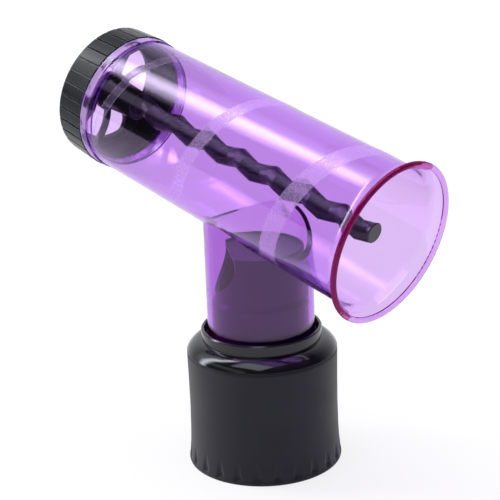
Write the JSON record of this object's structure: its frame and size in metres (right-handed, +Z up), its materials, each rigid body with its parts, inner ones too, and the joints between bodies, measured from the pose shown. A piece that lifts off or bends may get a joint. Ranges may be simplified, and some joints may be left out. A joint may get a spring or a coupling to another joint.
{
  "type": "hair dryer curl diffuser",
  "caption": "Clear tilted curl chamber with a flared mouth, twisted inner rod and vented rear cap, on a neck with a soft collar that grips a hair dryer's nozzle.",
  "frame": {"origin": "centre of the grip collar's open bottom face, on the neck's axis", "axes": "+Z up along the neck, +X towards the side that the open mouth faces, +Y to the left of the mouth"},
  "size_m": [0.1696, 0.0658, 0.1726],
  "materials": {
    "clear_purple": "clear tinted, polished",
    "cap_black": "satin gloss, ribbed",
    "rod_black": "gloss",
    "screw_steel": "plated",
    "seal_black": "soft matte",
    "guide_black": "satin",
    "ring_black": "satin",
    "adapter_black": "high gloss",
    "collar_rubber": "soft matte"
  },
  "bodies": {
    "adapter": {"inlet_adapter": "adapter_black", "grip_collar": "collar_rubber", "neck_seal": "seal_black"},
    "chamber": {"curl_chamber": "clear_purple", "air_guide": "guide_black", "retaining_ring": "ring_black"},
    "gasket": {"cap_gasket": "seal_black"},
    "cap": {"rear_cap": "cap_black", "curl_rod": "rod_black", "rod_screw": "screw_steel"}
  },
  "joints": [
    {"name": "chamber_swivel", "type": "hinge", "parent": "adapter", "child": "chamber", "pos_m": [0, 0, 0.0492], "axis": [0, 0, 1], "continuous": true},
    {"name": "cap_withdraw", "type": "slide", "parent": "chamber", "child": "gasket", "axis": [-0.9694, 0, 0.2453], "range_m": [0, 0.15]},
    {"name": "cap_turn", "type": "hinge", "parent": "gasket", "child": "cap", "pos_m": [-0.07639, 0, 0.14273], "axis": [-0.9694, 0, 0.2453], "range_deg": [0, 60]}
  ]
}
